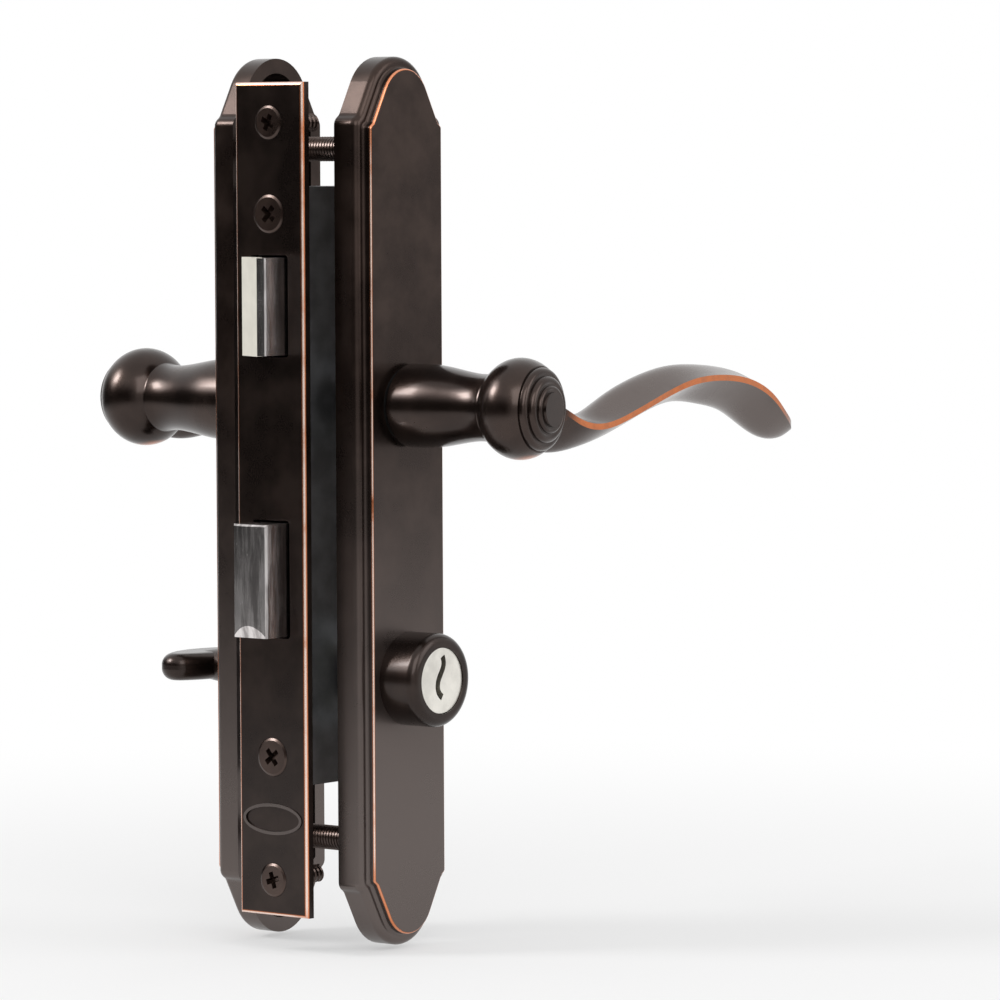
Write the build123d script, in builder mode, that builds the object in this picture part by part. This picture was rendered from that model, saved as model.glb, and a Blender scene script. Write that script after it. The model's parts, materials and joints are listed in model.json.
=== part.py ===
from build123d import *
from math import acos, atan2, cos, degrees, hypot, radians, sin, tan
import os

os.makedirs("parts", exist_ok=True)

# Storm door lever set: two arched plates with wave levers, a key cylinder outside, a thumbturn inside,
# and a mortise lock with a latch and a deadbolt. Millimetres.
# The origin is on the spindle axis at the outer face of the door. +X runs along the levers, away from
# the edge of the door, +Y runs through the door to the room side, and +Z is up.

# Door and clearances
door_thickness = 28.6
lock_setback = 12.7
running_gap = 0.3
fit_gap = 0.1
slide_gap = 0.5

# Lock case
backset = 21.3
case_width = 13.0
case_depth = 32.0
case_top = 47.0
case_bottom = -81.5
case_floor = 1.2
case_side = 1.6
cover_thickness = 1.2
screw_block = 7.0
screw_block_length = 8.0
cover_post_radius = 2.4
cover_post_inset = 4.0
cover_post_heights = (42.0, -33.0, -76.5)
cover_screw_thread = 2.5
cover_screw_head = 4.4
cover_screw_length = 7.0

# Faceplate and its screws
faceplate_width = 19.0
faceplate_top = 69.3
faceplate_bottom = -109.7
faceplate_thickness = 2.2
faceplate_round = 0.8
opening_corner = 0.8
stamp_height = -88.8
stamp_length = 16.4
stamp_width = 6.8
stamp_rim = 0.7
stamp_rise = 0.25
stamp_depth = 0.15
case_screw_heights = (41.2, -75.4)
case_screw_head = 8.2
case_screw_thread = 4.0
case_screw_length = 9.0
case_screw_turns = (40.0, 52.0)
edge_screw_heights = (60.7, -102.0)
edge_screw_head = 7.2
edge_screw_thread = 3.4
edge_screw_length = 16.0
edge_screw_turns = (25.0, 72.0)
head_depth = 1.5
head_angle = 41.0
neck_relief = 0.3
head_crown = 0.25
head_rim = 0.5
driver_slot = 1.2
driver_reach = 0.5
driver_taper = 12.0

# Latch bolt
latch_height = 21.5
latch_tall = 20.8
latch_thick = 9.4
latch_reach = 7.0
latch_nose = 2.2
latch_bevel_drop = 3.5
latch_edge = 0.5
insert_thickness = 1.8
insert_overhang = 0.15
latch_body = 9.3
tail_thick = 5.0
tail_low = 13.0
tail_high = 19.0
jaw_wall = 3.0
jaw_gap = 0.35
spring_height = 25.0
spring_coil = 5.6
spring_wire = 0.7
spring_turns = 8
spring_pocket = 8.0

# Lever hub and its leaf spring
lever_swing = 45.0
hub_radius = 7.4
hub_journal = 6.4
hub_flat = 6.6
hub_arm = 9.4
arm_tip = 2.0
arm_shank = 3.0
arm_thick = 4.0
leaf_thick = 0.6
leaf_width = 5.0
leaf_rib = 4.0
hub_leaf_end = 8.0

# Deadbolt, its cam and its leaf spring
bolt_height = -37.05
bolt_tall = 24.3
bolt_reach = 7.7
bolt_body = 10.0
bolt_tail_thick = 4.6
bolt_tail_overlap = 3.0
bolt_tail_high = -42.0
bolt_edge = 0.4
bolt_crown = 0.7
bolt_facet = 2.6
key_height = -58.9
cam_radius = 7.6
cam_thick = 3.6
cam_journal = 4.2
crank_radius = 5.66
crank_pin = 1.8
turn_range = 90.0
bolt_leaf_rise = 2.2
bolt_leaf_dip = 3.0
bolt_leaf_bend = 2.0

# Plates
plate_width = 29.2
plate_height = 191.6
plate_centre = -21.1
plate_thickness = 8.0
plate_wall = 2.2
plate_side_wall = 3.2
nose_radius = 10.3
arch_height = 13.7
shoulder_step = 1.70705
shoulder_angle = 54.0
shoulder_round = 2.0
shoulder_ease = 0.45
rim_height = 6.0
face_inset = 2.6
bead_round = 1.5
cove_round = 0.75
front_edge = 0.5
post_heights = (55.0, -95.0)
post_diameter = 8.0
post_reach = 9.0
mount_thread = 5.0
mount_head = 9.0
mount_head_depth = 2.0
mount_tip = 2.5

# Levers
spindle_side = 8.0
spindle_grip = 15.0
sleeve_radius = 6.8
sleeve_end = 0.4
bush_wall = 1.2
bush_flange = 1.6
bush_flange_thick = 1.2
clip_thick = 0.9
clip_depth = 0.8
clip_rim = 2.2
clip_mouth = 1.6
clip_gap = 0.3
pin_diameter = 2.0
neck_base_radius = 9.0
neck_base_round = 1.2
neck_shoulder_radius = 8.8
neck_shoulder_reach = 9.0
neck_waist_radius = 7.35
neck_waist_reach = 18.4
ball_radius = 10.85
ball_half_depth = 8.8
ball_tilt = 7.0
ball_reach = 30.9
crease_radius = 7.65
crease_flare = 0.3
ring_radii = (9.2, 7.5, 5.5, 4.2)
ring_rises = (6.1, 7.2, 7.8)
ring_notch = 0.4
ring_bulge = 0.79
disc_rise = 8.4
set_screw_reach = 12.0
set_screw_thread = 4.0
set_screw_length = 3.6
set_screw_key = 2.0

# The wave of the blade, station by station from the axis: distance, height of the ridge,
# crown above the ridge, keel below it and half depth
blade_stations = (
    (5.0, -0.6, 3.0, 8.4, 4.4),
    (14.0, -3.0, 2.6, 6.7, 4.8),
    (22.0, -4.5, 2.9, 3.9, 5.1),
    (31.0, -2.7, 4.5, 3.2, 5.4),
    (43.0, 1.2, 4.4, 3.4, 5.8),
    (54.0, 4.0, 3.4, 4.5, 6.1),
    (64.0, 4.5, 2.7, 5.9, 6.4),
    (75.0, 2.9, 2.8, 6.8, 6.5),
    (84.0, -1.2, 3.2, 7.1, 6.2),
    (89.7, -5.2, 2.6, 5.0, 5.2),
    (93.8, -7.4, 1.9, 2.6, 3.2),
    (95.2, -8.2, 0.9, 1.1, 1.4),
)
ridge_band = 1.3
crown_offset = 1.2
flank_run = 0.7
crown_flank = 0.28
keel_flank = 0.36

# Key cylinder and tailpiece
collar_radius = 10.1
collar_height = 9.2
collar_round = 2.0
barrel_radius = 8.7
barrel_end = -1.0
plug_radius = 7.05
plug_recess = 0.35
plug_end = 1.2
nut_across = 21.0
nut_thick = 2.5
keyway_wide = 1.5
keyway_path = ((0.4, 5.2), (0.4, 2.4), (-0.8, 0.5), (-1.2, -0.7), (0.3, -3.6))
keyway_depth = 14.0
dog_angle = 40.0
dog_inner = 3.2
dog_outer = 6.2
dog_length = 1.8
dog_gap = 0.4
dog_start = 70.0
dog_lead = 225.0
tail_disc = 1.2
blade_width = 4.4
blade_thick = 1.8

# Thumbturn
turn_base_radius = 9.0
turn_base_height = 2.8
turn_base_round = 1.0
turn_stem_radius = 4.6
turn_journal = 5.0
turn_half_width = 12.0
turn_half_reach = 6.6
turn_end_radius = 4.2
turn_grip_centre = 14.3
turn_grip_thick = 6.0
turn_grip_round = 2.6
turn_slot_depth = 6.0
turn_journal_end = 1.0

# Places worked out from the sizes above
lock_y = lock_setback
mid_plane = Plane.XZ.offset(-door_thickness / 2)
face_x = -backset
case_front = face_x + faceplate_thickness
case_back = case_front + case_depth
inner_front = case_front + case_side
inner_back = case_back - case_side
case_y0 = lock_y - case_width / 2
case_y1 = lock_y + case_width / 2
floor_y = case_y0 + case_floor
cover_y = case_y1 - cover_thickness
faceplate_centre = (faceplate_top + faceplate_bottom) / 2
plate_front = -plate_thickness
cavity_depth = plate_thickness - plate_wall
wall_back = -cavity_depth
room_face = door_thickness
bush_outer = sleeve_radius + fit_gap + bush_wall
swing = radians(lever_swing / 2)
half_turn = radians(turn_range / 2)
latch_nose_x = face_x - latch_reach
bolt_nose_x = face_x - bolt_reach
inner_front_face = room_face + plate_thickness
set_screw_y = inner_front_face + set_screw_reach
neck_back = plate_front - running_gap
ball_y = plate_front - ball_reach
crease_y = ball_y + ball_half_depth * (1 - (crease_radius / ball_radius) ** 2) ** 0.5
ring_angle = degrees(acos(ring_radii[0] / ball_radius))
ring_start = ball_half_depth * (1 - (ring_radii[0] / ball_radius) ** 2) ** 0.5
groove_y = wall_back + bush_flange_thick + clip_gap + clip_thick
pin_y = (groove_y + fit_gap - sleeve_end) / 2


def keep(piece, name):
    piece.part.label = name
    export_step(piece.part, f"parts/{name}.step")


# A sketch plane across the door at depth y: X along, Z up, extruding towards the outside
def layer(y, height=0):
    return Plane(origin=(0, y, height), x_dir=(1, 0, 0), z_dir=(0, -1, 0))


# Arched outline of a plate at a height above the door, stepped in by the same amount all round
def plate_face(height, inset):
    half_width = plate_width / 2 - inset
    radius = nose_radius - inset
    slope = radians(shoulder_angle)
    nose_centre = plate_height / 2 - nose_radius
    shoulder_height = plate_height / 2 - arch_height
    corner_x = plate_width / 2 - shoulder_step
    corner_z = shoulder_height + shoulder_step / tan(slope) - nose_centre
    flank = atan2(corner_z, corner_x) + acos(nose_radius / hypot(corner_x, corner_z))
    side_end = shoulder_height - inset * tan(slope / 2)
    beyond = cos(flank) * half_width + sin(flank) * (side_end - nose_centre) - radius
    run = beyond / sin(slope - flank)
    shoulder_x = half_width - run * sin(slope)
    shoulder_z = side_end + run * cos(slope)
    tangent_x = radius * cos(flank)
    tangent_z = nose_centre + radius * sin(flank)
    apex = plate_height / 2 - inset
    with BuildSketch(layer(-height, plate_centre)) as outline:
        with BuildLine():
            for side in (1, -1):
                FilletPolyline(
                    (side * tangent_x, -tangent_z),
                    (side * shoulder_x, -shoulder_z),
                    (side * half_width, -side_end),
                    (side * half_width, side_end),
                    (side * shoulder_x, shoulder_z),
                    (side * tangent_x, tangent_z),
                    radius=shoulder_round - shoulder_ease * inset,
                )
            for end in (1, -1):
                ThreePointArc((tangent_x, end * tangent_z), (0, end * apex), (-tangent_x, end * tangent_z))
        make_face()
    return outline.sketch


# Flat-head screw along +X, with the rim of its head at X = 0 and its neck relieved inside the faceplate
def flat_head_screw(head, thread, length):
    cone_end = head / 2 - head_depth * tan(radians(head_angle))
    neck = thread / 2 - neck_relief
    with BuildPart() as screw:
        with BuildSketch(Plane.XZ):
            with BuildLine():
                Polyline(
                    (-head_crown, 0),
                    (-head_crown, head / 2 - head_rim),
                    (0, head / 2),
                    (head_depth, cone_end),
                    (head_depth, neck),
                    (faceplate_thickness, neck),
                    (faceplate_thickness, thread / 2),
                    (length - thread / 2, thread / 2),
                    (length, 0),
                    close=True,
                )
            make_face()
        revolve(axis=Axis.X)
        with BuildSketch(Plane.YZ.offset(-head_crown)):
            Rectangle(driver_slot, driver_reach * head)
            Rectangle(driver_reach * head, driver_slot)
        extrude(amount=head_depth, taper=driver_taper, mode=Mode.SUBTRACT)
    return screw.part


# Open retaining ring for a groove round a shaft along Y, reaching from y towards the outside
def retaining_ring(y, height, groove_radius):
    with BuildPart() as ring:
        with BuildSketch(layer(y, height)):
            Circle(groove_radius + clip_depth + clip_rim)
            Circle(groove_radius + fit_gap, mode=Mode.SUBTRACT)
            with Locations((0, -groove_radius - clip_rim)):
                Rectangle(clip_mouth * groove_radius, 2 * clip_rim + groove_radius, mode=Mode.SUBTRACT)
        extrude(amount=clip_thick)
    return ring.part


# Shell of a plate: rounded rim, cove and raised face, hollow back and the bore for the lever bush
with BuildPart() as plate_blank:
    extrude(plate_face(0, 0), amount=rim_height)
    extrude(plate_face(0, face_inset), amount=plate_thickness)
    rim_ledge = plate_blank.faces().filter_by(Axis.Y).group_by(Axis.Y)[1][0]
    fillet(rim_ledge.outer_wire().edges(), bead_round)
    rim_ledge = plate_blank.faces().filter_by(Axis.Y).group_by(Axis.Y)[1][0]
    fillet(rim_ledge.inner_wires()[0].edges(), cove_round)
    fillet(plate_blank.faces().sort_by(Axis.Y)[0].edges(), front_edge)
    extrude(plate_face(0, plate_side_wall), amount=cavity_depth, mode=Mode.SUBTRACT)
    with BuildSketch(layer(0)):
        Circle(bush_outer + fit_gap)
    extrude(amount=plate_thickness, mode=Mode.SUBTRACT)

with BuildPart() as exterior_escutcheon:
    add(plate_blank.part)
    with BuildSketch(layer(0, key_height)):
        Circle(barrel_radius + fit_gap)
    extrude(amount=plate_thickness, mode=Mode.SUBTRACT)
    for height in post_heights:
        with BuildSketch(layer(post_reach, height)):
            Circle(post_diameter / 2)
        extrude(amount=post_reach + cavity_depth)
        with BuildSketch(layer(post_reach, height)):
            Circle(mount_thread / 2 + fit_gap)
        extrude(amount=post_reach + cavity_depth - plate_wall, mode=Mode.SUBTRACT)
keep(exterior_escutcheon, "exterior_escutcheon")

with BuildPart() as interior_escutcheon:
    mirror(plate_blank.part, about=mid_plane)
    with BuildSketch(layer(inner_front_face, key_height)):
        Circle(turn_journal + fit_gap)
    extrude(amount=plate_wall, mode=Mode.SUBTRACT)
    for height in post_heights:
        with BuildSketch(layer(room_face + cavity_depth, height)):
            Circle(post_diameter / 2)
        extrude(amount=cavity_depth)
    with Locations(*[
        Plane(origin=(0, inner_front_face, height), z_dir=(0, 1, 0)) for height in post_heights
    ]):
        CounterSinkHole(
            radius=mount_thread / 2 + 2 * fit_gap,
            counter_sink_radius=mount_head / 2 + fit_gap,
            counter_sink_angle=2 * head_angle,
        )
keep(interior_escutcheon, "interior_escutcheon")

# Mounting screws, driven from the room side into the posts of the outer plate
head_back = inner_front_face - mount_head_depth
cone_foot = mount_head / 2 - mount_head_depth * tan(radians(head_angle))
with BuildPart() as mounting_screws:
    for height in post_heights:
        with BuildSketch(Plane.XY.offset(height)):
            with BuildLine():
                Polyline(
                    (0, inner_front_face),
                    (mount_head / 2, inner_front_face),
                    (cone_foot, head_back),
                    (mount_thread / 2, head_back),
                    (mount_thread / 2, 2 * mount_tip),
                    (mount_thread / 4, mount_tip),
                    (0, mount_tip),
                    close=True,
                )
            make_face()
        revolve(axis=Axis((0, 0, height), (0, 1, 0)))
        with BuildSketch(Plane(origin=(0, inner_front_face, height), z_dir=(0, -1, 0))):
            Rectangle(driver_slot, driver_reach * mount_head)
            Rectangle(driver_reach * mount_head, driver_slot)
        extrude(amount=head_depth, taper=driver_taper, mode=Mode.SUBTRACT)
keep(mounting_screws, "mounting_screws")

# Ball of the lever about its own centre: a flattened round with stepped rings and an end disc
with BuildPart() as lever_ball:
    with BuildSketch(Plane.XY):
        with BuildLine():
            Line((0, -disc_rise), (0, ball_half_depth))
            EllipticalCenterArc(
                (0, 0), ball_radius, ball_half_depth, start_angle=-ring_angle, arc_size=90 + ring_angle
            )
            low = -ring_start
            for radius, inner, rise in zip(ring_radii, ring_radii[1:], ring_rises):
                foot = radius - ring_notch
                Line((radius, low), (foot, low))
                ThreePointArc(
                    (foot, low),
                    (inner + ring_bulge * (foot - inner), low - ring_bulge * (rise + low)),
                    (inner, -rise),
                )
                low = -rise
            foot = ring_radii[-1] - ring_notch
            Polyline(
                (ring_radii[-1], low),
                (foot, low),
                (foot - ring_notch / 3, -disc_rise),
                (0, -disc_rise),
            )
        make_face()
    revolve(axis=Axis.Y)

# Wave blade of the lever, a loft through its stations with a narrow flat along the ridge
with BuildPart() as lever_blade:
    sections = []
    for distance, ridge, crown, keel, half_depth in blade_stations:
        band = min(ridge_band, crown, keel) / 2
        flank_y = ball_y - flank_run * half_depth
        with BuildSketch(Plane.YZ.offset(distance)) as section:
            with BuildLine():
                Line((ball_y - half_depth, ridge - band), (ball_y - half_depth, ridge + band))
                Spline(
                    (ball_y - half_depth, ridge + band),
                    (flank_y, ridge + band + crown_flank * (crown - band)),
                    (ball_y + crown_offset, ridge + crown),
                    (ball_y + half_depth, ridge + (crown - keel) / 2),
                    (ball_y + crown_offset, ridge - keel),
                    (flank_y, ridge - band - keel_flank * (keel - band)),
                    (ball_y - half_depth, ridge - band),
                )
            make_face()
        sections.append(section.sketch)
    loft(sections=sections)

# Lever: turned neck with the sleeve behind it, the ball turned a little towards the blade, and the wave blade
with BuildPart() as lever_blank:
    with BuildSketch(Plane.XY):
        with BuildLine():
            Polyline(
                (0, neck_back),
                (0, -sleeve_end),
                (sleeve_radius, -sleeve_end),
                (sleeve_radius, groove_y + fit_gap),
                (sleeve_radius - clip_depth, groove_y + fit_gap),
                (sleeve_radius - clip_depth, groove_y - clip_thick - fit_gap),
                (sleeve_radius, groove_y - clip_thick - fit_gap),
                (sleeve_radius, neck_back),
                close=True,
            )
        make_face()
    revolve(axis=Axis.Y)
    with BuildSketch(Plane.XY):
        with BuildLine():
            Polyline(
                (crease_radius, crease_y),
                (crease_radius, ball_y),
                (0, ball_y),
                (0, neck_back),
                (neck_base_radius - neck_base_round, neck_back),
            )
            RadiusArc(
                (neck_base_radius - neck_base_round, neck_back),
                (neck_base_radius, neck_back - neck_base_round),
                -neck_base_round,
            )
            Spline(
                (neck_base_radius, neck_back - neck_base_round),
                (neck_shoulder_radius, plate_front - neck_shoulder_reach),
                (neck_waist_radius, plate_front - neck_waist_reach),
                (crease_radius, crease_y),
                tangents=((0, -1), (crease_flare, -1)),
            )
        make_face()
    revolve(axis=Axis.Y)
    with Locations(Location((0, ball_y, 0), (0, 0, ball_tilt))):
        add(lever_ball.part)
    add(lever_blade.part)
    with BuildSketch(layer(0)):
        Rectangle(spindle_side + 2 * fit_gap, spindle_side + 2 * fit_gap)
    extrude(amount=plate_thickness + spindle_grip, mode=Mode.SUBTRACT)

with BuildPart() as exterior_lever:
    add(lever_blank.part)
    with BuildSketch(Plane.YZ):
        with Locations((pin_y, 0)):
            Circle(pin_diameter / 2 + fit_gap)
    extrude(amount=sleeve_radius, both=True, mode=Mode.SUBTRACT)
keep(exterior_lever, "exterior_lever")

with BuildPart() as interior_lever:
    mirror(lever_blank.part, about=mid_plane)
    with BuildSketch(Plane.XY):
        with Locations((0, set_screw_y)):
            Circle(set_screw_thread / 2 + fit_gap)
    extrude(amount=-neck_base_radius, mode=Mode.SUBTRACT)
keep(interior_lever, "interior_lever")

with BuildPart() as interior_set_screw:
    with BuildSketch(Plane.XY.offset(-spindle_side / 2 - fit_gap)):
        with Locations((0, set_screw_y)):
            Circle(set_screw_thread / 2)
    extrude(amount=-set_screw_length)
    with BuildSketch(Plane.XY.offset(-spindle_side / 2 - fit_gap - set_screw_length)):
        with Locations((0, set_screw_y)):
            RegularPolygon(radius=set_screw_key / 2, side_count=6, major_radius=False)
    extrude(amount=set_screw_length / 2, mode=Mode.SUBTRACT)
keep(interior_set_screw, "interior_set_screw")

spindle_end = plate_thickness + spindle_grip - running_gap
with BuildPart() as spindle:
    with BuildSketch(layer(room_face + spindle_end)):
        Rectangle(spindle_side, spindle_side)
    extrude(amount=door_thickness + 2 * spindle_end)
    with BuildSketch(Plane.YZ):
        with Locations((pin_y, 0)):
            Circle(pin_diameter / 2 + fit_gap)
    extrude(amount=spindle_side, both=True, mode=Mode.SUBTRACT)
keep(spindle, "spindle")

with BuildPart() as spindle_pin:
    with BuildSketch(Plane.YZ):
        with Locations((pin_y, 0)):
            Circle(pin_diameter / 2)
    extrude(amount=sleeve_radius - fit_gap, both=True)
keep(spindle_pin, "spindle_pin")

# Flanged bushes and the retaining rings that hold the levers to the plates
with BuildPart() as exterior_lever_bush:
    with BuildSketch(Plane.XY):
        with BuildLine():
            Polyline(
                (sleeve_radius + fit_gap, plate_front),
                (bush_outer, plate_front),
                (bush_outer, wall_back),
                (bush_outer + bush_flange, wall_back),
                (bush_outer + bush_flange, wall_back + bush_flange_thick),
                (sleeve_radius + fit_gap, wall_back + bush_flange_thick),
                close=True,
            )
        make_face()
    revolve(axis=Axis.Y)
keep(exterior_lever_bush, "exterior_lever_bush")

with BuildPart() as interior_lever_bush:
    mirror(exterior_lever_bush.part, about=mid_plane)
keep(interior_lever_bush, "interior_lever_bush")

with BuildPart() as exterior_lever_clip:
    add(retaining_ring(groove_y, 0, sleeve_radius - clip_depth))
keep(exterior_lever_clip, "exterior_lever_clip")

with BuildPart() as interior_lever_clip:
    mirror(exterior_lever_clip.part, about=mid_plane)
keep(interior_lever_clip, "interior_lever_clip")

# Key cylinder: collar on the plate, barrel through it and the nut behind
key_axis = Axis((0, 0, key_height), (0, 1, 0))
collar_front = plate_front - collar_height
with BuildPart() as key_cylinder:
    with BuildSketch(Plane.XY.offset(key_height)):
        with BuildLine():
            Line((plug_radius + fit_gap, collar_front), (collar_radius - collar_round, collar_front))
            RadiusArc(
                (collar_radius - collar_round, collar_front),
                (collar_radius, collar_front + collar_round),
                -collar_round,
            )
            Polyline(
                (collar_radius, collar_front + collar_round),
                (collar_radius, plate_front),
                (barrel_radius, plate_front),
                (barrel_radius, barrel_end),
                (plug_radius + fit_gap, barrel_end),
                (plug_radius + fit_gap, collar_front),
            )
        make_face()
    revolve(axis=key_axis)
keep(key_cylinder, "key_cylinder")

with BuildPart() as cylinder_nut:
    with BuildSketch(layer(wall_back + nut_thick, key_height)):
        RegularPolygon(radius=nut_across / 2, side_count=6, major_radius=False, rotation=30)
        Circle(barrel_radius + fit_gap, mode=Mode.SUBTRACT)
    extrude(amount=nut_thick)
keep(cylinder_nut, "cylinder_nut")


# Driving dog on the end of a shaft: a sector of a ring, from an angle in the layer's own plane
def dog_face(y, start):
    with BuildSketch(layer(y, key_height)) as dog:
        with BuildLine():
            outer = CenterArc((0, 0), dog_outer, start, dog_angle)
            inner = CenterArc((0, 0), dog_inner, start, dog_angle)
            Line(inner @ 0, outer @ 0)
            Line(inner @ 1, outer @ 1)
        make_face()
    return dog.sketch


plug_front = collar_front + plug_recess
plug_groove = barrel_end + clip_gap + clip_thick
with BuildPart() as key_plug:
    with BuildSketch(Plane.XY.offset(key_height)):
        with BuildLine():
            Polyline(
                (0, plug_front),
                (plug_radius, plug_front),
                (plug_radius, plug_groove - clip_thick - fit_gap),
                (plug_radius - clip_depth, plug_groove - clip_thick - fit_gap),
                (plug_radius - clip_depth, plug_groove + fit_gap),
                (plug_radius, plug_groove + fit_gap),
                (plug_radius, plug_end),
                (0, plug_end),
                close=True,
            )
        make_face()
    revolve(axis=key_axis)
    extrude(dog_face(plug_end + dog_length, dog_start), amount=dog_length)
    with BuildSketch(layer(plug_front + keyway_depth, key_height)):
        with BuildLine():
            Spline(*keyway_path)
        trace(line_width=keyway_wide)
    extrude(amount=keyway_depth, mode=Mode.SUBTRACT)
keep(key_plug, "key_plug")

with BuildPart() as plug_clip:
    add(retaining_ring(plug_groove, key_height, plug_radius - clip_depth))
keep(plug_clip, "plug_clip")

# Tailpiece: disc and dog behind the plug, and the flat blade through the lock to the thumbturn
tail_y = plug_end + dog_length + dog_gap
blade_end = room_face + turn_journal_end + turn_slot_depth - running_gap
with BuildPart() as tailpiece:
    with BuildSketch(layer(tail_y + tail_disc, key_height)):
        Circle(dog_outer)
    extrude(amount=tail_disc)
    extrude(dog_face(tail_y, dog_start + dog_lead), amount=dog_length)
    with BuildSketch(layer(blade_end, key_height)):
        Rectangle(blade_width, blade_thick)
    extrude(amount=blade_end - tail_y - tail_disc)
keep(tailpiece, "tailpiece")

# Thumbturn: journal through the plate, round base, and the oval grip across the end
turn_groove = room_face + cavity_depth - clip_gap
end_x = turn_half_width - turn_end_radius
end_drop = turn_half_reach - turn_end_radius
bow_centre = (end_x**2 - end_drop**2) / (2 * end_drop)
join = atan2(bow_centre, end_x)
join_x = end_x + turn_end_radius * cos(join)
join_y = turn_end_radius * sin(join)
grip_plane = Plane((0, inner_front_face + turn_grip_centre, key_height - turn_grip_thick / 2))
with BuildPart() as turn_grip:
    with BuildSketch(grip_plane):
        with BuildLine():
            for side in (1, -1):
                ThreePointArc(
                    (-join_x, side * join_y), (0, side * turn_half_reach), (join_x, side * join_y)
                )
                ThreePointArc(
                    (side * join_x, -join_y), (side * turn_half_width, 0), (side * join_x, join_y)
                )
        make_face()
    extrude(amount=turn_grip_thick)
    flat_faces = turn_grip.faces().filter_by(Axis.Z)
    fillet(flat_faces.edges(), turn_grip_round)

with BuildPart() as thumbturn:
    with BuildSketch(Plane.XY.offset(key_height)):
        with BuildLine():
            Polyline(
                (0, room_face + turn_journal_end),
                (turn_journal, room_face + turn_journal_end),
                (turn_journal, turn_groove - clip_thick - fit_gap),
                (turn_journal - clip_depth, turn_groove - clip_thick - fit_gap),
                (turn_journal - clip_depth, turn_groove + fit_gap),
                (turn_journal, turn_groove + fit_gap),
                (turn_journal, inner_front_face + running_gap),
                (turn_base_radius, inner_front_face + running_gap),
                (turn_base_radius, inner_front_face + turn_base_height - turn_base_round),
            )
            RadiusArc(
                (turn_base_radius, inner_front_face + turn_base_height - turn_base_round),
                (turn_base_radius - turn_base_round, inner_front_face + turn_base_height),
                -turn_base_round,
            )
            Polyline(
                (turn_base_radius - turn_base_round, inner_front_face + turn_base_height),
                (turn_stem_radius, inner_front_face + turn_base_height),
                (turn_grip_thick / 2, inner_front_face + turn_grip_centre),
                (0, inner_front_face + turn_grip_centre),
                (0, room_face + turn_journal_end),
            )
        make_face()
    revolve(axis=key_axis)
    add(turn_grip.part)
    with BuildSketch(layer(room_face + turn_journal_end + turn_slot_depth, key_height)):
        Rectangle(blade_width + 2 * fit_gap, blade_thick + 2 * fit_gap)
    extrude(amount=turn_slot_depth, mode=Mode.SUBTRACT)
keep(thumbturn, "thumbturn")

with BuildPart() as thumbturn_clip:
    add(retaining_ring(turn_groove, key_height, turn_journal - clip_depth))
keep(thumbturn_clip, "thumbturn_clip")

# Lock case: an open tray with screw blocks, cover posts and ribs for the leaf springs
case_middle = ((case_front + case_back) / 2, (case_top + case_bottom) / 2)
post_x = inner_back - cover_post_inset
hub_leaf_z = -hub_flat - running_gap - leaf_thick
bolt_top = bolt_height + bolt_tall / 2
leaf_slope = atan2(bolt_leaf_rise, bolt_leaf_dip)
leaf_drop = bolt_leaf_rise - bolt_leaf_bend * (1 / cos(leaf_slope) - 1)
bolt_leaf_z = bolt_top + running_gap + leaf_drop
with BuildPart() as mortise_case:
    with BuildSketch(layer(cover_y)):
        with Locations(case_middle):
            Rectangle(case_depth, case_top - case_bottom)
    extrude(amount=cover_y - case_y0)
    with BuildSketch(layer(cover_y)):
        with Locations(case_middle):
            Rectangle(case_depth - 2 * case_side, case_top - case_bottom - 2 * case_side)
    extrude(amount=cover_y - floor_y, mode=Mode.SUBTRACT)
    with BuildSketch(layer(lock_y + screw_block / 2)):
        with Locations(*[(inner_front + screw_block_length / 2, height) for height in case_screw_heights]):
            Rectangle(screw_block_length, screw_block)
    extrude(amount=lock_y + screw_block / 2 - floor_y)
    with BuildSketch(layer(cover_y)):
        with Locations(*[(post_x, height) for height in cover_post_heights]):
            Circle(cover_post_radius)
    extrude(amount=cover_y - floor_y)
    with BuildSketch(layer(cover_y)):
        with Locations(*[(post_x, height) for height in cover_post_heights]):
            Circle(cover_screw_thread / 2 + fit_gap)
    extrude(amount=cover_screw_length, mode=Mode.SUBTRACT)
    with BuildSketch(layer(lock_y + leaf_width / 2)):
        with Locations((inner_front + leaf_rib / 2, hub_leaf_z - leaf_rib / 2)):
            Rectangle(leaf_rib, leaf_rib)
        with Locations((inner_back - leaf_rib / 2, bolt_leaf_z + leaf_thick + leaf_rib / 2)):
            Rectangle(leaf_rib, leaf_rib)
    extrude(amount=lock_y + leaf_width / 2 - floor_y)
    with BuildSketch(layer(floor_y)):
        Circle(hub_journal + 2 * fit_gap)
        with Locations((0, key_height)):
            Circle(cam_journal + 2 * fit_gap)
    extrude(amount=case_floor, mode=Mode.SUBTRACT)
    with BuildSketch(Plane.YZ.offset(case_front)):
        with Locations(((floor_y + cover_y) / 2, latch_height)):
            Rectangle(cover_y - floor_y, latch_tall + 2 * slide_gap)
        with Locations(((floor_y + cover_y) / 2, bolt_height)):
            Rectangle(cover_y - floor_y, bolt_tall + 2 * slide_gap)
    extrude(amount=case_side, mode=Mode.SUBTRACT)
    with BuildSketch(Plane.YZ.offset(case_front)):
        with Locations(*[(lock_y, height) for height in case_screw_heights]):
            Circle(case_screw_thread / 2 + fit_gap)
    extrude(amount=case_side + screw_block_length, mode=Mode.SUBTRACT)
keep(mortise_case, "mortise_case")

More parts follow.
